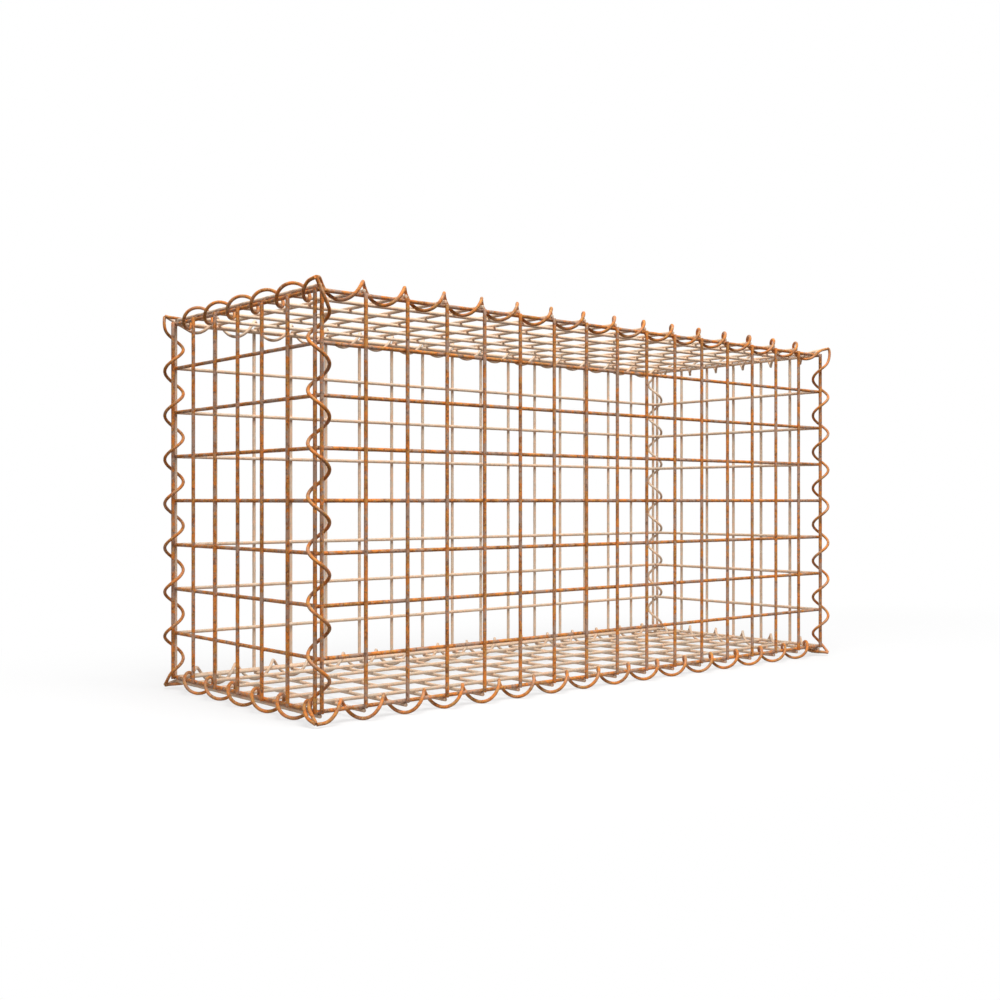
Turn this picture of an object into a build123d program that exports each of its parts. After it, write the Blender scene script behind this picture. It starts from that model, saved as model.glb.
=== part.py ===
"""Empty gabion basket of welded wire mesh: six flat mesh panels bound along
all twelve edges by wire spirals, closed and standing on its long lower spirals.

Millimetres, +X along the basket, +Y to the back, +Z up.
The origin is on the ground under the middle of the basket.
"""

from build123d import *
import math
import os

# Basket, measured between the middles of its edge wires
basket_length = 800.0
basket_depth = 300.0
basket_height = 400.0

# Welded mesh
mesh_size = 50.0
mesh_wire = 4.0
weld_depth = 0.4
wire_overhang = 1.8
long_wire_overhang = 0.5
panel_gap = 0.3

# Binding spirals, radius to the middle of the wire
spiral_wire = 3.6
spiral_radius = 9.6
spiral_gap = 0.3
long_spiral_stand_out = 1.5

# Corners, where three spirals come together: how far out they would meet, and how far
# short of that point they stop, more so the spirals of the ends, which lie between the others
tip_share = 0.85
tip_gap = 5.0
end_tip_gap = 15.0

# Facets of the wires
wire_sides = 4
turn_steps = 6

# Cells along each edge
cells_long = round(basket_length / mesh_size)
cells_deep = round(basket_depth / mesh_size)
cells_high = round(basket_height / mesh_size)

half_length = basket_length / 2
half_depth = basket_depth / 2
half_height = basket_height / 2

# Wire layers, measured from the middle of the basket
layer_step = mesh_wire - weld_depth
neighbour_step = mesh_wire + panel_gap
side_upright_y = half_depth + wire_overhang + panel_gap + mesh_wire / 2
side_level_y = side_upright_y - layer_step
end_level_x = half_length + long_wire_overhang + panel_gap + mesh_wire / 2
end_upright_x = end_level_x + layer_step
flat_cross_z = half_height + neighbour_step
flat_long_z = flat_cross_z - layer_step
flat_edge_y = side_level_y - neighbour_step

# Room inside a spiral for the pair of edge wires that it binds
spiral_reach = spiral_radius * math.cos(math.pi / turn_steps) - spiral_wire / 2
seat_distance = spiral_reach - spiral_gap - mesh_wire / 2


def seat(carrier, partner):
    """Place of a spiral's axis: it bears on the carrier wire and lies towards the partner wire."""
    away = (partner - carrier).normalized()
    return carrier + away * seat_distance


def stations(cells, half):
    """Places of the wires of one direction, from one edge to the other."""
    return [half * (2 * index / cells - 1) for index in range(cells + 1)]


# Axes of the spirals on the three kinds of edge, as distances from the middle of the basket
long_axis = Vector(flat_edge_y + seat_distance, half_height + long_spiral_stand_out)
deep_axis = seat(Vector(flat_cross_z, half_length), Vector(half_height, end_level_x))
high_axis = seat(Vector(end_upright_x, half_depth), Vector(half_length, side_upright_y))

# Point at which the three spirals of a corner would meet
tip_stand_out = spiral_radius * tip_share
tip_x = deep_axis.Y + tip_stand_out
tip_y = long_axis.X + tip_stand_out
tip_z = deep_axis.X + tip_stand_out


def heading(axis, tip):
    """Angle in degrees at which a tip lies about a spiral's axis."""
    return math.degrees(math.atan2(tip.Y - axis.Y, tip.X - axis.X))


# Ground to the middle of the basket, under the lowest bends of the long spirals
long_heading = heading(long_axis, Vector(tip_y, tip_z))
bend_angles = [math.radians(long_heading + 360 * step / turn_steps) for step in range(turn_steps)]
low_share = max(math.sin(angle) for angle in bend_angles)
middle_z = long_axis.Y + spiral_radius * low_share + spiral_wire / 2

# Planes across the wires that run along, across and up the basket, through its middle
middle = Vector(0, 0, middle_z)
long_plane = Plane(middle, x_dir=(0, 1, 0), z_dir=(1, 0, 0))
deep_plane = Plane(middle, x_dir=(0, 0, 1), z_dir=(0, 1, 0))
high_plane = Plane(middle, x_dir=(1, 0, 0), z_dir=(0, 0, 1))

# Lengths of those wires, and their places across each panel
long_wires = basket_length + 2 * long_wire_overhang
deep_wires = basket_depth + 2 * wire_overhang
high_wires = basket_height + 2 * wire_overhang
x_places = stations(cells_long, half_length)
y_places = stations(cells_deep, half_depth)
z_places = stations(cells_high, half_height)
flat_y_places = [-flat_edge_y] + y_places[1:-1] + [flat_edge_y]

os.makedirs("parts", exist_ok=True)


def mesh_panel(name, first_plane, first_length, first_places, second_plane, second_length, second_places):
    """A flat panel of two layers of straight wires, welded wherever they cross."""
    with BuildPart() as panel:
        with BuildSketch(first_plane.offset(-first_length / 2)):
            with Locations(*first_places):
                RegularPolygon(mesh_wire / 2, wire_sides)
        extrude(amount=first_length)
        with BuildSketch(second_plane.offset(-second_length / 2)):
            with Locations(*second_places):
                RegularPolygon(mesh_wire / 2, wire_sides)
        extrude(amount=second_length)
    panel.part.label = name
    export_step(panel.part, f"parts/{name}.step")


def spiral(name, plane, half, turns, axis, tip, gap, hand, phase):
    """A binding spiral along one edge, in straight steps, one turn to a mesh cell.

    Its turns pass each mesh wire at the phase angle. The last step at both ends is drawn out
    along the edge towards the corner's tip, and stops short of it by the gap.
    """
    pitch = 2 * half / turns
    start = heading(axis, tip)
    lag = hand * pitch * math.remainder(start - phase, 360) / 360
    points = []
    for step in range(turns * turn_steps + 1):
        angle = math.radians(start + hand * 360 * step / turn_steps)
        across = axis.X + spiral_radius * math.cos(angle)
        up = axis.Y + spiral_radius * math.sin(angle)
        points.append(Vector(across, up, lag - half + pitch * step / turn_steps))
    for end, neighbour, along in ((0, 1, -tip.Z), (-1, -2, tip.Z)):
        meeting = Vector(tip.X, tip.Y, along)
        points[end] = meeting + (points[neighbour] - meeting).normalized() * gap
    places = [plane.from_local_coords(point) for point in points]
    with BuildPart() as coil:
        with BuildLine() as middle_line:
            Polyline(*places)
        with BuildSketch(Plane(places[0], z_dir=places[1] - places[0])):
            RegularPolygon(spiral_wire / 2, wire_sides)
        sweep(path=middle_line.line, transition=Transition.RIGHT)
    coil.part.label = name
    export_step(coil.part, f"parts/{name}.step")


# Front and back panels: uprights outside, level wires inside
for name, side in (("front_panel", -1), ("back_panel", 1)):
    mesh_panel(
        name,
        high_plane, high_wires, [(x, side * side_upright_y) for x in x_places],
        long_plane, long_wires, [(side * side_level_y, z) for z in z_places],
    )

# End panels, past the ends of the front and back level wires
for name, side in (("left_panel", -1), ("right_panel", 1)):
    mesh_panel(
        name,
        high_plane, high_wires, [(side * end_upright_x, y) for y in y_places],
        deep_plane, deep_wires, [(z, side * end_level_x) for z in z_places],
    )

# Base and lid: cross wires outside, long wires inside the level wires of the front and back
for name, side in (("base_panel", -1), ("lid_panel", 1)):
    mesh_panel(
        name,
        deep_plane, deep_wires, [(side * flat_cross_z, x) for x in x_places],
        long_plane, long_wires, [(y, side * flat_long_z) for y in flat_y_places],
    )

# Spirals along the basket
for name, side, level, phase in (
    ("front_top_spiral", -1, 1, 80),
    ("back_top_spiral", 1, 1, 85),
    ("front_base_spiral", -1, -1, 255),
    ("back_base_spiral", 1, -1, 260),
):
    axis = Vector(side * long_axis.X, level * long_axis.Y)
    tip = Vector(side * tip_y, level * tip_z, tip_x)
    spiral(name, long_plane, half_length, cells_long, axis, tip, tip_gap, -1, phase)

# Spirals along the upper and lower edges of the ends
for name, side, level, hand, phase in (
    ("left_top_spiral", -1, 1, -1, 318),
    ("right_top_spiral", 1, 1, -1, 42),
    ("left_base_spiral", -1, -1, 1, 235),
    ("right_base_spiral", 1, -1, 1, 138),
):
    axis = Vector(level * deep_axis.X, side * deep_axis.Y)
    tip = Vector(level * tip_z, side * tip_x, tip_y)
    spiral(name, deep_plane, half_depth, cells_deep, axis, tip, end_tip_gap, hand, phase)

# Spirals up the four corners
for name, side, face, hand, phase in (
    ("front_left_spiral", -1, -1, -1, 178),
    ("back_left_spiral", -1, 1, 1, 180),
    ("front_right_spiral", 1, -1, 1, 2),
    ("back_right_spiral", 1, 1, -1, 0),
):
    axis = Vector(side * high_axis.X, face * high_axis.Y)
    tip = Vector(side * tip_x, face * tip_y, tip_z)
    spiral(name, high_plane, half_height, cells_high, axis, tip, tip_gap, hand, phase)
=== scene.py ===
"""Looks of an empty gabion basket: round rusty mesh wires, their welds and the binding spirals.

Metres, in the part's own frame: +X along the basket, +Y to the back, +Z up.
"""

import math
from types import SimpleNamespace

import bpy
from bpy.props import FloatProperty, FloatVectorProperty, IntProperty, PointerProperty
from mathutils import Matrix, Vector


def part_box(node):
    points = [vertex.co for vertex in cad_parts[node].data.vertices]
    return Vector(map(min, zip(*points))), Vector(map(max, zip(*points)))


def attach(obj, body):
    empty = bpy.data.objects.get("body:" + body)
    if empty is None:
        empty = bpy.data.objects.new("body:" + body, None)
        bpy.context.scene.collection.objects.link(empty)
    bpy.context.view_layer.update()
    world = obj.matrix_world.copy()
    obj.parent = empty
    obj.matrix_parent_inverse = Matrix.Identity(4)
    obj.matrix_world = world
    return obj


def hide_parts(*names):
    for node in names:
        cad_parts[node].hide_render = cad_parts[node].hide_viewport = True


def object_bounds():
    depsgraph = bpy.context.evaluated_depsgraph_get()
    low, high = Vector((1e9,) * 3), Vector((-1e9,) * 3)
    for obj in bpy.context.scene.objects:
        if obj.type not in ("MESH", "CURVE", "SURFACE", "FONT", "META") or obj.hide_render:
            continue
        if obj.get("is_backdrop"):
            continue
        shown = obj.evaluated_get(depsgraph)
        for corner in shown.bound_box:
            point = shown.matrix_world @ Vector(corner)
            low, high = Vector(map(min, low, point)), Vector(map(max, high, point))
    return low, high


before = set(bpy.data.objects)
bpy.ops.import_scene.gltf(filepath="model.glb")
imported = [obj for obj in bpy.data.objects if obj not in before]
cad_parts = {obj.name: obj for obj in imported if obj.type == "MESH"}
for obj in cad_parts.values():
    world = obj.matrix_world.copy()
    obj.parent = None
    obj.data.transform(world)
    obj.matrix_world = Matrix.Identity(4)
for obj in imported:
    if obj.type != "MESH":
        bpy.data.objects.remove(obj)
cad_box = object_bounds()

bl_info = {
    "name": "Gabion basket",
    "version": (1, 0, 0),
    "blender": (4, 5, 0),
    "location": "View3D > Sidebar > Gabion",
    "description": "Models the mesh panels and binding spirals of an empty, rusty gabion basket",
    "category": "Object",
}

ALONG = Vector((1, 0, 0))
ACROSS = Vector((0, 1, 0))
UP = Vector((0, 0, 1))

# Edges that turn less than this are shaded smooth
SMOOTH_ANGLE = math.radians(50)

# Points of a wire's skin closer than this become one
MERGE_DISTANCE = 1e-6

# Hands of the spirals
LEFT_HANDED = -1
RIGHT_HANDED = 1

# Shares of powder, thin grey rust and dark scale in each finish, and 1 where it takes painted haze
# Painted haze is painted light: a pale tone mixed into the rust to paint the washed-out light of
# the far sides
FINISHES = {
    "deep_rust": (0.6, 0.8, 0.7, 0),
    "fresh_rust": (0.9, 0.35, 0.3, 0),
    "painted_haze_rust": (0.6, 0.8, 0.7, 1),
}


def linear(red, green, blue):
    """A colour as a screen shows it, from 0 to 255, made linear."""
    shares = [value / 255 for value in (red, green, blue)]
    return tuple(s / 12.92 if s <= 0.04045 else ((s + 0.055) / 1.055) ** 2.4 for s in shares)


class MeshSizes(bpy.types.PropertyGroup):
    """Sizes of the welded mesh panels."""

    mesh_size: FloatProperty(
        name="Mesh size", description="Middle to middle of neighbouring wires",
        default=0.05, unit="LENGTH",
    )
    wire_diameter: FloatProperty(
        name="Wire", description="Diameter of the mesh wires",
        default=0.004, unit="LENGTH",
    )
    overhang: FloatProperty(
        name="Overhang", description="Wire left beyond the last weld",
        default=0.0018, unit="LENGTH",
    )
    long_overhang: FloatProperty(
        name="Long overhang", description="The same on the wires along the basket",
        default=0.0005, unit="LENGTH",
    )
    spread: FloatProperty(
        name="Spread", description="How much further out the last uprights and cross wires lie",
        default=0.0014, unit="LENGTH",
    )
    panel_gap: FloatProperty(
        name="Panel gap", description="Room between the edge wires of two panels",
        default=0.0003, unit="LENGTH",
    )
    cut_chamfer: FloatProperty(
        name="Cut chamfer", description="Rounding of the cut wire ends",
        default=0.0005, unit="LENGTH",
    )
    cut_steps: IntProperty(name="Cut steps", description="Facets of that rounding", default=2)
    wire_sides: IntProperty(name="Sides", description="Sides of a round wire", default=12)
    facet_length: FloatProperty(
        name="Facet length", description="Length of the facets along a wire",
        default=0.008, unit="LENGTH",
    )
    weld_width: FloatProperty(
        name="Weld width", description="Width of the metal pressed out at a weld",
        default=0.005, unit="LENGTH",
    )
    weld_height: FloatProperty(
        name="Weld height", description="Height of the metal pressed out at a weld",
        default=0.0028, unit="LENGTH",
    )
    weld_sides: IntProperty(name="Weld sides", description="Sides of a weld", default=8)
    weld_rings: IntProperty(name="Weld rings", description="Rings of facets on a weld", default=5)


class SpiralSizes(bpy.types.PropertyGroup):
    """Sizes of the binding spirals."""

    wire_diameter: FloatProperty(
        name="Wire", description="Diameter of the spiral wire",
        default=0.0036, unit="LENGTH",
    )
    wire_sides: IntProperty(name="Sides", description="Sides of the round wire", default=12)
    turn_knots: IntProperty(name="Knots", description="Knots of the curve in each turn", default=4)
    turn_steps: IntProperty(name="Steps", description="Steps in each turn", default=32)
    radius: FloatProperty(
        name="Radius", description="From the axis to the middle of the wire",
        default=0.01015, unit="LENGTH",
    )
    seat_distance: FloatProperty(
        name="Seat distance", description="From the edge wire that bears it to its axis",
        default=0.00477, unit="LENGTH",
    )
    top_hang: FloatProperty(
        name="Top hang", description="From a top edge up to the axis of its long spiral",
        default=0.0028, unit="LENGTH",
    )
    base_hang: FloatProperty(
        name="Base hang", description="From a base edge down to the axis of its long spiral",
        default=0.0016, unit="LENGTH",
    )
    end_top_hang: FloatVectorProperty(
        name="End top hang", description="How far the upper spirals of the ends hang out and up",
        default=(0.0012, 0.0016), size=2, unit="LENGTH",
    )
    end_base_hang: FloatVectorProperty(
        name="End base hang", description="How far the lower spirals of the ends hang out and down",
        default=(0.0012, 0.0011), size=2, unit="LENGTH",
    )
    corner_hang: FloatProperty(
        name="Corner hang", description="How far the spirals up the corners hang out",
        default=0.0015, unit="LENGTH",
    )
    corner_reach: FloatVectorProperty(
        name="Corner reach", description="From a basket corner out to where three spirals end",
        default=(0.0117, 0.0104, 0.0098), unit="LENGTH",
    )
    tip_gap: FloatProperty(
        name="Tip gap", description="From that meeting point back to each cut end",
        default=0.0012, unit="LENGTH",
    )
    tip_handle: FloatProperty(
        name="Tip handle", description="Share of a drawn-out end that its last handle spans",
        default=0.25,
    )
    end_swing: FloatProperty(
        name="End swing", description="First handle of a drawn-out end, in thirds of its length",
        default=1.1,
    )


class RustColours(bpy.types.PropertyGroup):
    """Colours and relief of the rusty wire."""

    orange: FloatVectorProperty(
        name="Orange rust", description="Fresh dry rust",
        default=linear(218, 127, 50), subtype="COLOR",
    )
    ochre: FloatVectorProperty(
        name="Ochre rust", description="Yellower patches in it",
        default=linear(200, 150, 76), subtype="COLOR",
    )
    yellowing: FloatProperty(
        name="Yellowing", description="Share of ochre in those patches",
        default=0.6, subtype="FACTOR",
    )
    brown: FloatVectorProperty(
        name="Brown rust", description="Older rust",
        default=linear(152, 91, 39), subtype="COLOR",
    )
    dark: FloatVectorProperty(
        name="Dark scale", description="Thick dark scale",
        default=linear(97, 62, 40), subtype="COLOR",
    )
    thin: FloatVectorProperty(
        name="Thin rust", description="Grey-brown wire where the rust is thin",
        default=linear(166, 141, 125), subtype="COLOR",
    )
    powder: FloatVectorProperty(
        name="Rust powder", description="Pale dust on the rust",
        default=linear(220, 165, 117), subtype="COLOR",
    )
    # Painted light: this pale tone, mixed into the rust of the far sides, paints the washed-out
    # light there as a haze
    painted_haze: FloatVectorProperty(
        name="Bleached rust", description="Pale tone of the weathered far sides",
        default=linear(247, 229, 204), subtype="COLOR",
    )
    painted_haze_share: FloatProperty(
        name="Bleaching", description="Share of the pale tone on the far sides",
        default=0.56, subtype="FACTOR",
    )
    relief_strength: FloatProperty(
        name="Relief strength", description="Strength of the fine relief",
        default=0.5, subtype="FACTOR",
    )
    relief_depth: FloatProperty(
        name="Relief depth", description="Depth of the fine relief",
        default=0.0006, unit="LENGTH",
    )
    scale_height: FloatProperty(
        name="Scale height", description="How far the rust swells the wire",
        default=0.0003, unit="LENGTH",
    )
    scale_size: FloatProperty(
        name="Scale size", description="Size of the swellings",
        default=0.007, unit="LENGTH",
    )
    scale_detail: IntProperty(
        name="Scale detail", description="Finer steps in the swellings", default=2,
    )


class StudioSettings(bpy.types.PropertyGroup):
    """Camera, lights and floor."""

    camera_place: FloatVectorProperty(
        name="Camera", description="Place of the camera",
        default=(-1.02126, -1.13455, 0.2127), unit="LENGTH",
    )
    camera_turn: FloatProperty(
        name="Turn", description="Turn of the camera about the vertical",
        default=math.radians(-40.648), subtype="ANGLE",
    )
    camera_tilt: FloatProperty(
        name="Tilt", description="Tilt of the camera above level",
        default=math.radians(0.03), subtype="ANGLE",
    )
    lens: FloatProperty(name="Lens", description="Focal length in millimetres", default=43.725)
    ambient: FloatProperty(name="Ambient", description="Light of the white room", default=0.6)
    key_place: FloatVectorProperty(
        name="Key place", description="Place of the lamp above the front",
        default=(-0.45, -1.2, 2.6), unit="LENGTH",
    )
    key_size: FloatProperty(
        name="Key size", description="Width of that lamp",
        default=1.6, unit="LENGTH",
    )
    key_power: FloatProperty(name="Key", description="Watts of that lamp", default=90.0)
    floor_bounce: FloatProperty(
        name="Bounce", description="Share of light that the floor throws back at the basket",
        default=0.4, subtype="FACTOR",
    )
    floor_tone: FloatProperty(
        name="Tone", description="Share of light that the floor shows to the camera",
        default=0.72, subtype="FACTOR",
    )
    floor_radius: FloatProperty(
        name="Floor", description="Radius of the floor",
        default=12.0, unit="LENGTH",
    )
    floor_sides: IntProperty(name="Floor sides", description="Sides of the floor", default=96)
    floor_squeeze: FloatProperty(
        name="Squeeze", description="Share to which distances along the basket count on the floor",
        default=0.45,
    )
    bounce_zone: FloatVectorProperty(
        name="Bounce zone", description="Distances over which the floor stops throwing back light",
        default=(0.15, 0.4), size=2, unit="LENGTH",
    )
    shadow_zone: FloatVectorProperty(
        name="Shadow zone", description="Distances over which the floor turns plain white",
        default=(0.2, 0.65), size=2, unit="LENGTH",
    )
    shadow_share: FloatProperty(
        name="Shadow", description="Share of the lit surface in the floor as it is seen",
        default=0.32, subtype="FACTOR",
    )


class Sock:
    """A node's output, on which Python's operators add Math nodes."""

    def __init__(self, tree, socket=None):
        self.tree = tree
        self.socket = socket

    def node(self, kind, settings=None, sockets=None, output=0):
        """Add a node with its settings and the values or links of its sockets; give one output."""
        made = self.tree.nodes.new(kind)
        for name, value in (settings or {}).items():
            setattr(made, name, value)
        for name, value in (sockets or {}).items():
            if isinstance(value, Sock):
                self.tree.links.new(value.socket, made.inputs[name])
            else:
                made.inputs[name].default_value = value
        return Sock(self.tree, made.outputs[output] if made.outputs else None)

    def math(self, operation, *values):
        """A Math node on some values or outputs."""
        return self.node("ShaderNodeMath", {"operation": operation}, dict(enumerate(values)))

    def __add__(self, other):
        return self.math("ADD", self, other)

    def __radd__(self, other):
        return self.math("ADD", other, self)

    def __sub__(self, other):
        return self.math("SUBTRACT", self, other)

    def __rsub__(self, other):
        return self.math("SUBTRACT", other, self)

    def __mul__(self, other):
        return self.math("MULTIPLY", self, other)

    def __rmul__(self, other):
        return self.math("MULTIPLY", other, self)

    def ramp(self, low, high):
        """0 below low and 1 above high, smooth between them."""
        return self.node(
            "ShaderNodeMapRange",
            {"interpolation_type": "SMOOTHSTEP"},
            {"Value": self, "From Min": low, "From Max": high},
        )

    def mix(self, factor, first, second):
        """A colour between two colours.

        The node's sockets share their names, so those for colours go by their numbers.
        """
        return self.node(
            "ShaderNodeMix", {"data_type": "RGBA"}, {0: factor, 6: first, 7: second}, output=2
        )

    def noise(self, place, scale, detail, roughness=0.5, distortion=0.0):
        """Noise from 0 to 1, with scale features to the metre."""
        return self.node(
            "ShaderNodeTexNoise",
            {},
            {
                "Vector": place,
                "Scale": scale,
                "Detail": detail,
                "Roughness": roughness,
                "Distortion": distortion,
            },
        )


def opaque(colour):
    """A colour with its alpha."""
    return (*colour, 1.0)


def rust_finish(name, colours, powder_share, thin_share, dark_share, painted_haze_share):
    """Mottled rust on steel wire, with thin grey places, dark scale and a pale powder."""
    found = bpy.data.materials.get(name)
    if found:
        return found
    material = bpy.data.materials.new(name)
    material.use_nodes = True
    material.node_tree.nodes.clear()
    start = Sock(material.node_tree)
    place = start.node("ShaderNodeTexCoord", output="Object")

    # Stretches of a few wire diameters, then finer mottling
    worn = start.noise(place, scale=62, detail=5, roughness=0.66, distortion=0.4)
    stretches = start.noise(place, scale=95, detail=4, roughness=0.62)
    patches = start.noise(place, scale=210, detail=4, roughness=0.6)
    crust = start.noise(place, scale=300, detail=4, roughness=0.6, distortion=0.3)
    grains = start.noise(place, scale=480, detail=3, roughness=0.65)
    pits = start.noise(place, scale=1300, detail=2)

    # Where each colour lies, with borders broken up by the grains
    flecks = grains - 0.5
    aged = (stretches + 0.6 * flecks).ramp(0.40, 0.60)
    thin = (worn + 0.22 * flecks).ramp(0.47, 0.59)
    scaled = (crust + 0.4 * flecks).ramp(0.53, 0.66)
    powdery = (grains + 0.5 * (stretches - 0.5)).ramp(0.54, 0.74)
    yellowed = (patches + 0.3 * flecks).ramp(0.46, 0.62)

    colour = start.mix(aged, opaque(colours.orange), opaque(colours.brown))
    colour = start.mix(colours.yellowing * yellowed, colour, opaque(colours.ochre))
    colour = start.mix(powder_share * powdery, colour, opaque(colours.powder))
    colour = start.mix(thin_share * thin, colour, opaque(colours.thin))
    colour = start.mix(dark_share * scaled, colour, opaque(colours.dark))
    # Painted haze: a share of a pale tone paints washed-out light over the rust
    if painted_haze_share:
        colour = start.mix(painted_haze_share, colour, opaque(colours.painted_haze))

    # Grainy and pitted, smoother and a little metallic where the rust is thin
    relief = 0.6 * grains + 0.25 * pits - 0.3 * thin
    normal = start.node(
        "ShaderNodeBump",
        {},
        {
            "Height": relief,
            "Strength": colours.relief_strength,
            "Distance": colours.relief_depth,
        },
    )
    surface = start.node(
        "ShaderNodeBsdfPrincipled",
        {},
        {
            "Base Color": colour,
            "Roughness": 0.65 - 0.1 * thin,
            "Metallic": 0.15 * thin,
            "Normal": normal,
            "Specular IOR Level": 0.35,
        },
    )
    start.node("ShaderNodeOutputMaterial", {}, {"Surface": surface})
    return material


def basket_places(sizes):
    """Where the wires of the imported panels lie, read from the panels' boxes."""
    radius = sizes.wire_diameter / 2
    front_low, front_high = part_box("front_panel")
    left_low, left_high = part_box("left_panel")
    lid_low, lid_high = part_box("lid_panel")
    base_low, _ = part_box("base_panel")
    middle = (lid_high.z + base_low.z) / 2
    return SimpleNamespace(
        middle=middle,
        half_length=front_high.x - radius,
        half_depth=left_high.y - radius,
        half_height=front_high.z - radius - middle,
        side_upright=-front_low.y - radius,
        side_level=-front_high.y + radius,
        end_upright=-left_low.x - radius,
        end_level=-left_high.x + radius,
        flat_cross=lid_high.z - radius - middle,
        flat_long=lid_low.z + radius - middle,
        flat_edge=-front_high.y - sizes.panel_gap - radius,
    )


def wire_steps(sizes, direction, half):
    """Number of wires from one edge of a panel to the other, and the step between them."""
    cells = round(2 * half / sizes.mesh_size)
    return cells + 1, direction * (2 * half / cells)


def deselect_all():
    bpy.ops.object.select_all(action="DESELECT")


def apply_modifier(piece, kind, **settings):
    """Add a modifier to the active piece and apply it."""
    modifier = piece.modifiers.new(kind.lower(), kind)
    for name, value in settings.items():
        setattr(modifier, name, value)
    bpy.ops.object.modifier_apply(modifier=modifier.name)


def select_edges(piece, wanted):
    """Select, for edit mode, the edges whose two ends pass the test."""
    bpy.context.tool_settings.mesh_select_mode = (False, True, False)
    mesh = piece.data
    for part in (*mesh.polygons, *mesh.vertices):
        part.select = False
    for edge in mesh.edges:
        edge.select = wanted(*(mesh.vertices[index].co for index in edge.vertices))


def repeat(piece, step, count):
    """Repeat a piece in a row, at even steps."""
    apply_modifier(
        piece,
        "ARRAY",
        use_relative_offset=False,
        use_constant_offset=True,
        constant_offset_displace=step,
        count=count,
    )


def wire_row(sizes, first, run, step, count):
    """A row of like wires: one wire with rounded cut ends, cut into short facets, then repeated."""
    deselect_all()
    length = run.length
    along = run.normalized()
    bpy.ops.mesh.primitive_cylinder_add(
        vertices=sizes.wire_sides,
        radius=sizes.wire_diameter / 2,
        depth=length,
        location=first + run / 2,
        rotation=UP.rotation_difference(along).to_euler(),
    )
    row = bpy.context.object
    bpy.ops.object.transform_apply(location=True, rotation=True, scale=True)

    # Cut ends
    select_edges(row, lambda one, other: abs((one - other).dot(along)) < sizes.wire_diameter / 2)
    bpy.ops.object.mode_set(mode="EDIT")
    bpy.ops.mesh.bevel(offset=sizes.cut_chamfer, segments=sizes.cut_steps, affect="EDGES")
    bpy.ops.object.mode_set(mode="OBJECT")

    # Facets along the wire
    select_edges(row, lambda one, other: abs((one - other).dot(along)) > length / 2)
    bpy.ops.object.mode_set(mode="EDIT")
    bpy.ops.mesh.subdivide(number_cuts=round(length / sizes.facet_length))
    bpy.ops.object.mode_set(mode="OBJECT")
    repeat(row, step, count)
    return row


def weld_grid(sizes, first, face, step, count, other_step, other_count):
    """The metal pressed out where two layers of wires are welded, at every crossing."""
    deselect_all()
    bpy.ops.mesh.primitive_uv_sphere_add(
        segments=sizes.weld_sides, ring_count=sizes.weld_rings, radius=sizes.weld_width / 2
    )
    weld = bpy.context.object
    bpy.ops.object.mode_set(mode="EDIT")
    bpy.ops.transform.resize(value=(1, 1, sizes.weld_height / sizes.weld_width))
    bpy.ops.object.mode_set(mode="OBJECT")
    weld.rotation_euler = UP.rotation_difference(face).to_euler()
    weld.location = first
    bpy.ops.object.transform_apply(location=True, rotation=True, scale=True)
    repeat(weld, step, count)
    repeat(weld, other_step, other_count)
    return weld


def join_as(name, pieces):
    """Join pieces into one object of that name."""
    deselect_all()
    for piece in pieces:
        piece.select_set(True)
    bpy.context.view_layer.objects.active = pieces[0]
    bpy.ops.object.join()
    joined = bpy.context.object
    joined.name = name
    joined.data.name = name
    return joined


def rust_scale(colours):
    """The uneven swelling that rust gives to a wire."""
    texture = bpy.data.textures.get("rust_scale") or bpy.data.textures.new("rust_scale", "CLOUDS")
    texture.noise_scale = colours.scale_size
    texture.noise_depth = colours.scale_detail
    return texture


def finish_piece(piece, node, finish):
    """Swell the wire with rust, smooth it, give it its finish and put it in its node's place."""
    colours = bpy.context.scene.gabion_rust
    apply_modifier(
        piece, "DISPLACE", texture=rust_scale(colours), texture_coords="LOCAL",
        strength=colours.scale_height, mid_level=0.5,
    )
    bpy.ops.object.shade_smooth_by_angle(angle=SMOOTH_ANGLE)
    # The finish's last column marks painted haze, a pale tone that paints washed-out light
    *shares, painted_haze = FINISHES[finish]
    piece.data.materials.append(rust_finish(finish, colours, *shares, painted_haze * colours.painted_haze_share))
    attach(piece, "root")
    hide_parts(node)


def mesh_panel(node, layers, welds, face, finish):
    """One flat panel: its rows of wires and the welds between them."""
    sizes = bpy.context.scene.gabion_mesh
    pieces = [wire_row(sizes, *layer) for layer in layers]
    pieces += [weld_grid(sizes, first, face, *steps) for first, *steps in welds]
    panel = join_as(node.replace("panel", "mesh"), pieces)
    finish_piece(panel, node, finish)


class GABION_OT_side_panels(bpy.types.Operator):
    """Model the front and back mesh panels"""

    bl_idname = "gabion.side_panels"
    bl_label = "Front and back panels"

    def execute(self, context):
        sizes = context.scene.gabion_mesh
        at = basket_places(sizes)
        long_half = at.half_length + sizes.spread
        long_count, long_step = wire_steps(sizes, ALONG, long_half)
        high_count, high_step = wire_steps(sizes, UP, at.half_height)
        # The back panel takes painted haze: its rust is made paler to paint the washed-out light of
        # the far side
        for node, side, finish in (
            ("front_panel", -1, "deep_rust"),
            ("back_panel", 1, "painted_haze_rust"),
        ):
            corner = Vector((-long_half, 0, at.middle - at.half_height))
            outer = corner + ACROSS * side * at.side_upright
            inner = corner + ACROSS * side * at.side_level
            uprights = (
                outer - UP * sizes.overhang,
                UP * 2 * (at.half_height + sizes.overhang),
                long_step, long_count,
            )
            levels = (
                inner + ALONG * (sizes.spread - sizes.long_overhang),
                ALONG * 2 * (at.half_length + sizes.long_overhang),
                high_step, high_count,
            )
            welds = ((outer + inner) / 2, long_step, long_count, high_step, high_count)
            mesh_panel(node, [uprights, levels], [welds], ACROSS, finish)
        return {"FINISHED"}


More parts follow.
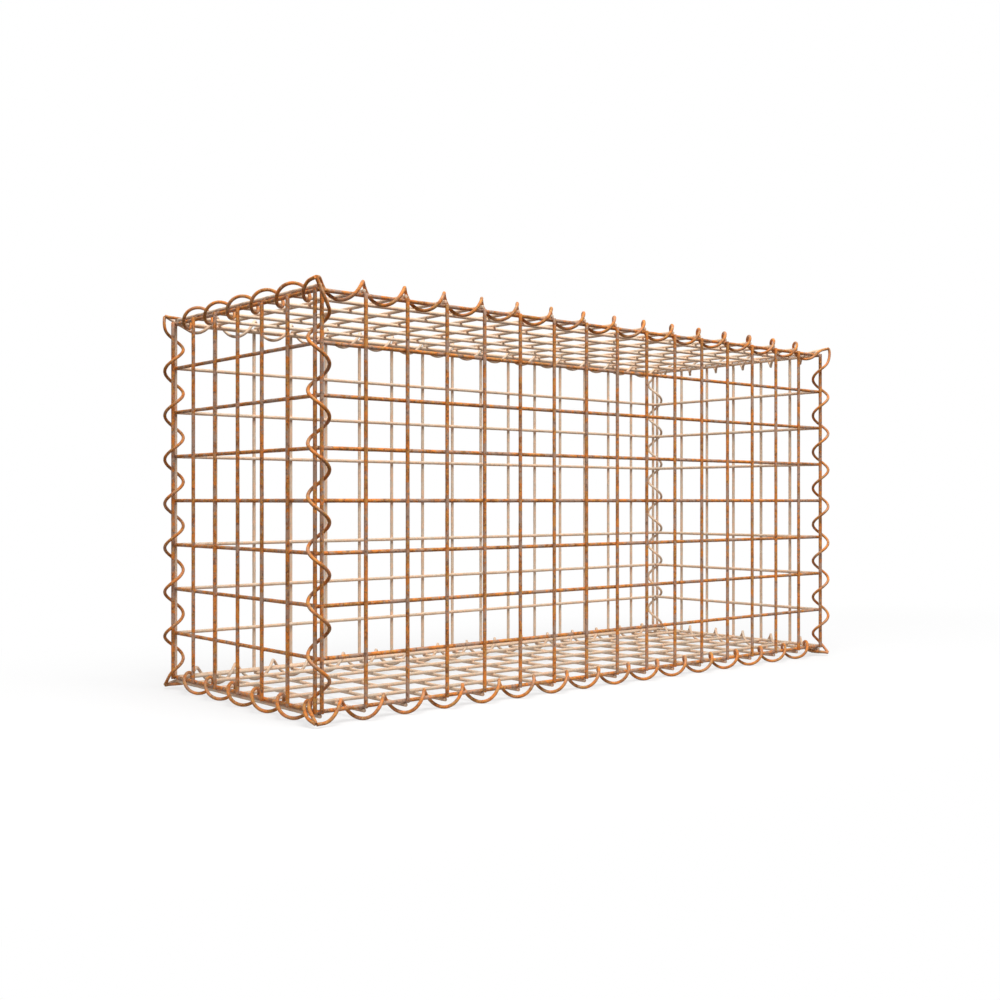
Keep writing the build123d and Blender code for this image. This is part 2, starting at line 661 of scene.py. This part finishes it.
class GABION_OT_end_panels(bpy.types.Operator):
    """Model the left and right mesh panels"""

    bl_idname = "gabion.end_panels"
    bl_label = "End panels"

    def execute(self, context):
        sizes = context.scene.gabion_mesh
        at = basket_places(sizes)
        deep_count, deep_step = wire_steps(sizes, ACROSS, at.half_depth)
        high_count, high_step = wire_steps(sizes, UP, at.half_height)
        # The right panel takes painted haze: its rust is made paler to paint the washed-out light
        # of the far side
        for node, side, finish in (
            ("left_panel", -1, "deep_rust"),
            ("right_panel", 1, "painted_haze_rust"),
        ):
            corner = Vector((0, -at.half_depth, at.middle - at.half_height))
            outer = corner + ALONG * side * at.end_upright
            inner = corner + ALONG * side * at.end_level
            uprights = (
                outer - UP * sizes.overhang,
                UP * 2 * (at.half_height + sizes.overhang),
                deep_step, deep_count,
            )
            levels = (
                inner - ACROSS * sizes.overhang,
                ACROSS * 2 * (at.half_depth + sizes.overhang),
                high_step, high_count,
            )
            welds = ((outer + inner) / 2, deep_step, deep_count, high_step, high_count)
            mesh_panel(node, [uprights, levels], [welds], ALONG, finish)
        return {"FINISHED"}


class GABION_OT_flat_panels(bpy.types.Operator):
    """Model the base and lid mesh panels"""

    bl_idname = "gabion.flat_panels"
    bl_label = "Base and lid"

    def execute(self, context):
        sizes = context.scene.gabion_mesh
        at = basket_places(sizes)
        long_half = at.half_length + sizes.spread
        long_count, long_step = wire_steps(sizes, ALONG, long_half)
        deep_count, deep_step = wire_steps(sizes, ACROSS, at.half_depth)
        edge_count, edge_step = 2, ACROSS * 2 * at.flat_edge
        inner_count = deep_count - edge_count
        left = -ALONG * long_half
        edge = left - ACROSS * at.flat_edge
        inner = left - ACROSS * at.half_depth + deep_step
        long_start = ALONG * (sizes.spread - sizes.long_overhang)
        long_run = ALONG * 2 * (at.half_length + sizes.long_overhang)
        for node, side in (("base_panel", -1), ("lid_panel", 1)):
            cross_z = UP * (at.middle + side * at.flat_cross)
            long_z = UP * (at.middle + side * at.flat_long)
            layers = [
                (
                    left + cross_z - ACROSS * (at.half_depth + sizes.overhang),
                    ACROSS * 2 * (at.half_depth + sizes.overhang),
                    long_step, long_count,
                ),
                (edge + long_z + long_start, long_run, edge_step, edge_count),
                (inner + long_z + long_start, long_run, deep_step, inner_count),
            ]
            between = (cross_z + long_z) / 2
            welds = [
                (edge + between, long_step, long_count, edge_step, edge_count),
                (inner + between, long_step, long_count, deep_step, inner_count),
            ]
            # Base and lid take painted haze: their rust is made paler to paint washed-out light on
            # them
            mesh_panel(node, layers, welds, UP, "painted_haze_rust")
        return {"FINISHED"}


def seated(carrier, partner, distance):
    """Place of a spiral's axis: from the wire that bears it towards the other one that it binds."""
    return carrier + (partner - carrier).normalized() * distance


def draw_wire(name, sizes, knots):
    """A round wire along a curve, whose knots are places with the handles before and after them."""
    deselect_all()
    bpy.ops.curve.primitive_bezier_curve_add()
    wire = bpy.context.object
    wire.name = name
    curve = wire.data
    curve.name = name
    curve.resolution_u = sizes.turn_steps // sizes.turn_knots
    curve.bevel_depth = sizes.wire_diameter / 2
    # A round bevel has 2 * (resolution + 2) sides
    curve.bevel_resolution = sizes.wire_sides // 2 - 2
    curve.use_fill_caps = True
    points = curve.splines[0].bezier_points
    points.add(len(knots) - len(points))
    for point, (place, before, after) in zip(points, knots):
        point.handle_left_type = point.handle_right_type = "FREE"
        point.co = place
        point.handle_left = before
        point.handle_right = after
    bpy.ops.object.convert(target="MESH")

    # One skin over the turns and the cut ends
    bpy.ops.object.mode_set(mode="EDIT")
    bpy.ops.mesh.select_all(action="SELECT")
    bpy.ops.mesh.remove_doubles(threshold=MERGE_DISTANCE)
    bpy.ops.mesh.normals_make_consistent(inside=False)
    bpy.ops.object.mode_set(mode="OBJECT")
    return bpy.context.object


def bind_edge(node, axis_turn, axis, half_span, hand, phase, loose, finish, high_bow=0):
    """A spiral along one edge, a turn to each mesh cell, with both ends drawn out to the corners.

    axis_turn takes the spiral's own axes to the edge's, axis is a point on the edge's middle line,
    phase is the angle in degrees at which the spiral passes each mesh wire, and loose is the share
    of a turn that is drawn out at its low and at its high end. high_bow is the share of the turn's
    swing that the high end keeps up to its tip.
    """
    sizes = bpy.context.scene.gabion_spirals
    mesh_sizes = bpy.context.scene.gabion_mesh
    at = basket_places(mesh_sizes)
    pitch = mesh_sizes.mesh_size

    # Knots of the turns, with handles of the length at which a cubic follows a circle
    low = loose[0] * pitch - half_span
    high = half_span - loose[1] * pitch
    stretches = math.ceil(sizes.turn_knots * (high - low) / pitch)
    stretch_angle = math.tau * (high - low) / pitch / stretches
    handle = 4 / 3 * math.tan(stretch_angle / 4)
    places, leads = [], []
    for step in range(stretches + 1):
        along = low + (high - low) * step / stretches
        angle = math.radians(phase) + hand * math.tau * (along + half_span) / pitch
        around = Vector((math.cos(angle), math.sin(angle), 0)) * sizes.radius
        places.append(axis + axis_turn @ (around + UP * along))
        leads.append(axis_turn @ (hand * UP.cross(around) + UP * pitch / math.tau) * handle)
    knots = [[place, place - lead, place + lead] for place, lead in zip(places, leads)]

    # Drawn-out ends, to where the three spirals of a corner meet
    centre = UP * at.middle
    reach = Vector((at.half_length, at.half_depth, at.half_height)) + Vector(sizes.corner_reach)
    outward = Vector([
        math.copysign(1, value) if abs(value) > pitch else 0 for value in axis - centre
    ])
    for end, sign, bow in ((0, -1, 0), (-1, 1, high_bow)):
        corner = centre + (outward + axis_turn @ UP * sign) * reach
        run = corner - places[end]
        tip = corner - run.normalized() * sizes.tip_gap
        swing = leads[end].normalized() * sign * run.length * sizes.end_swing / 3
        outer_handle = 1 if sign < 0 else 2
        knots[end][outer_handle] = places[end] + swing
        inlet = tip - run * sizes.tip_handle + swing * bow
        knots.insert(0 if sign < 0 else len(knots), [tip, inlet, inlet])

    coil = draw_wire(node.replace("spiral", "coil"), sizes, knots)
    finish_piece(coil, node, finish)


class GABION_OT_long_spirals(bpy.types.Operator):
    """Model the four spirals along the basket"""

    bl_idname = "gabion.long_spirals"
    bl_label = "Long spirals"

    def execute(self, context):
        sizes = context.scene.gabion_spirals
        at = basket_places(context.scene.gabion_mesh)
        turn = Matrix((ACROSS, UP, ALONG)).transposed()
        across = at.flat_edge + sizes.seat_distance
        # The back spirals take painted haze: their rust is made paler to paint the washed-out light
        # of the far side
        for node, side, level, hang, phase, loose, finish in (
            ("front_top_spiral", -1, 1, sizes.top_hang, 73, (0.08, 0.36), "fresh_rust"),
            ("back_top_spiral", 1, 1, sizes.top_hang, 80, (0.36, 0.36), "painted_haze_rust"),
            ("front_base_spiral", -1, -1, sizes.base_hang, 247, (0.08, 0.36), "fresh_rust"),
            ("back_base_spiral", 1, -1, sizes.base_hang, 254, (0.36, 0.36), "painted_haze_rust"),
        ):
            axis = Vector((0, side * across, at.middle + level * (at.half_height + hang)))
            bind_edge(node, turn, axis, at.half_length, LEFT_HANDED, phase, loose, finish)
        return {"FINISHED"}


class GABION_OT_end_spirals(bpy.types.Operator):
    """Model the four spirals along the ends, which hang a little further out"""

    bl_idname = "gabion.end_spirals"
    bl_label = "End spirals"

    def execute(self, context):
        sizes = context.scene.gabion_spirals
        at = basket_places(context.scene.gabion_mesh)
        turn = Matrix((UP, ALONG, ACROSS)).transposed()
        place = seated(
            Vector((at.half_length, at.flat_cross)),
            Vector((at.end_level, at.half_height)),
            sizes.seat_distance,
        )
        top = place + Vector(sizes.end_top_hang)
        base = place + Vector(sizes.end_base_hang)
        # The right spirals take painted haze: their rust is made paler to paint the washed-out
        # light of the far side
        for node, side, level, seat, hand, phase, loose, finish in (
            ("left_top_spiral", -1, 1, top, LEFT_HANDED, 318, (0.08, 0.45), "fresh_rust"),
            ("right_top_spiral", 1, 1, top, LEFT_HANDED, 42, (0.45, 0.36), "painted_haze_rust"),
            ("left_base_spiral", -1, -1, base, RIGHT_HANDED, 235, (0.08, 0.45), "fresh_rust"),
            ("right_base_spiral", 1, -1, base, RIGHT_HANDED, 138, (0.36, 0.36), "painted_haze_rust"),
        ):
            axis = Vector((side * seat.x, 0, at.middle + level * seat.y))
            bind_edge(node, turn, axis, at.half_depth, hand, phase, loose, finish)
        return {"FINISHED"}


class GABION_OT_corner_spirals(bpy.types.Operator):
    """Model the four spirals up the corners, which hang a little further out"""

    bl_idname = "gabion.corner_spirals"
    bl_label = "Corner spirals"

    def execute(self, context):
        sizes = context.scene.gabion_spirals
        at = basket_places(context.scene.gabion_mesh)
        turn = Matrix.Identity(3)
        place = seated(
            Vector((at.end_upright, at.half_depth)),
            Vector((at.half_length, at.side_upright)),
            sizes.seat_distance,
        )
        out = place.x + sizes.corner_hang
        # The back right spiral takes painted haze: its rust is made paler to paint the washed-out
        # light of the far corner
        for node, side, face, hand, phase, loose, bow, finish in (
            ("front_left_spiral", -1, -1, LEFT_HANDED, 178, (0.2, 0.36), 0, "fresh_rust"),
            ("back_left_spiral", -1, 1, RIGHT_HANDED, 180, (0.2, 0.15), 0.4, "fresh_rust"),
            ("front_right_spiral", 1, -1, RIGHT_HANDED, 2, (0.2, 0.28), 0.6, "fresh_rust"),
            ("back_right_spiral", 1, 1, LEFT_HANDED, 0, (0.2, 0.2), 0.4, "painted_haze_rust"),
        ):
            axis = Vector((side * out, face * place.y, at.middle))
            bind_edge(node, turn, axis, at.half_height, hand, phase, loose, finish, bow)
        return {"FINISHED"}


def seen_directly(start):
    """1 for rays that show the stage itself, straight or in metal or glass."""
    camera, glossy, transmission = (
        start.node("ShaderNodeLightPath", output=f"Is {kind} Ray")
        for kind in ("Camera", "Glossy", "Transmission")
    )
    return start.math("MINIMUM", camera + glossy + transmission, 1.0)


def white_room(scene, settings):
    """Even light from all round, which is seen as plain white."""
    world = bpy.data.worlds.new("white_room")
    scene.world = world
    world.use_nodes = True
    world.node_tree.nodes.clear()
    start = Sock(world.node_tree)
    strength = settings.ambient + (1 - settings.ambient) * seen_directly(start)
    light = start.node("ShaderNodeBackground", {}, {"Color": (1, 1, 1, 1), "Strength": strength})
    start.node("ShaderNodeOutputWorld", {}, {"Surface": light})


def floor_finish(settings):
    """Matt white that keeps the basket's shadow and turns plain white further off."""
    material = bpy.data.materials.new("white_floor")
    material.use_nodes = True
    material.node_tree.nodes.clear()
    start = Sock(material.node_tree)
    place = start.node("ShaderNodeTexCoord", output="Object")
    squeezed = start.node(
        "ShaderNodeVectorMath",
        {"operation": "MULTIPLY"},
        {0: place, 1: (settings.floor_squeeze, 1, 1)},
    )
    distance = start.node(
        "ShaderNodeVectorMath", {"operation": "LENGTH"}, {0: squeezed}, output="Value"
    )
    near = 1 - distance.ramp(*settings.shadow_zone)
    beneath = 1 - distance.ramp(*settings.bounce_zone)
    seen = seen_directly(start)
    white = seen * (1 - settings.shadow_share * near)
    tone = settings.floor_bounce * beneath * (1 - seen) + settings.floor_tone * seen
    lit = start.node("ShaderNodeBsdfDiffuse", {}, {"Color": tone})
    glow = start.node("ShaderNodeEmission", {}, {"Color": (1, 1, 1, 1), "Strength": 1.0})
    surface = start.node("ShaderNodeMixShader", {}, {0: white, 1: lit, 2: glow})
    start.node("ShaderNodeOutputMaterial", {}, {"Surface": surface})
    return material


def soft_lamp(name, place, target, size, power):
    """A square lamp that faces its target."""
    deselect_all()
    aim = (Vector(target) - Vector(place)).to_track_quat("-Z", "Y").to_euler()
    bpy.ops.object.light_add(type="AREA", location=place, rotation=aim)
    lamp = bpy.context.object
    lamp.name = name
    lamp.data.size = size
    lamp.data.energy = power


class GABION_OT_stage(bpy.types.Operator):
    """Set out the floor, the lights and the camera"""

    bl_idname = "gabion.stage"
    bl_label = "Stage"

    def execute(self, context):
        scene = context.scene
        settings = scene.gabion_studio
        scene.view_settings.view_transform = "Standard"
        white_room(scene, settings)

        deselect_all()
        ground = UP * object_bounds()[0].z
        bpy.ops.mesh.primitive_circle_add(
            vertices=settings.floor_sides,
            radius=settings.floor_radius,
            fill_type="NGON",
            location=ground,
        )
        floor = context.object
        floor.name = "floor"
        floor.data.materials.append(floor_finish(settings))
        floor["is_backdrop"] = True

        middle = (cad_box[0] + cad_box[1]) / 2
        soft_lamp(
            "key_lamp", settings.key_place, middle, settings.key_size, settings.key_power
        )

        deselect_all()
        aim = (math.pi / 2 + settings.camera_tilt, 0, settings.camera_turn)
        bpy.ops.object.camera_add(location=settings.camera_place, rotation=aim)
        camera = context.object
        camera.name = "camera"
        camera.data.lens = settings.lens
        scene.camera = camera
        return {"FINISHED"}


class GABION_PT_sidebar(bpy.types.Panel):
    """Lists the basket's pieces in the 3D view's sidebar"""

    bl_label = "Gabion basket"
    bl_idname = "GABION_PT_sidebar"
    bl_space_type = "VIEW_3D"
    bl_region_type = "UI"
    bl_category = "Gabion"

    def draw(self, context):
        for step in STEPS:
            self.layout.operator(step.bl_idname)


STEPS = (
    GABION_OT_side_panels,
    GABION_OT_end_panels,
    GABION_OT_flat_panels,
    GABION_OT_long_spirals,
    GABION_OT_end_spirals,
    GABION_OT_corner_spirals,
    GABION_OT_stage,
)
SETTINGS = {
    "gabion_mesh": MeshSizes,
    "gabion_spirals": SpiralSizes,
    "gabion_rust": RustColours,
    "gabion_studio": StudioSettings,
}


def register():
    for name, group in SETTINGS.items():
        bpy.utils.register_class(group)
        setattr(bpy.types.Scene, name, PointerProperty(type=group))
    for step in (*STEPS, GABION_PT_sidebar):
        bpy.utils.register_class(step)


def unregister():
    for step in (*STEPS, GABION_PT_sidebar):
        bpy.utils.unregister_class(step)
    for name, group in SETTINGS.items():
        delattr(bpy.types.Scene, name)
        bpy.utils.unregister_class(group)


def main():
    register()
    bpy.ops.gabion.side_panels()
    bpy.ops.gabion.end_panels()
    bpy.ops.gabion.flat_panels()
    bpy.ops.gabion.long_spirals()
    bpy.ops.gabion.end_spirals()
    bpy.ops.gabion.corner_spirals()
    bpy.ops.gabion.stage()


if __name__ == "__main__":
    main()
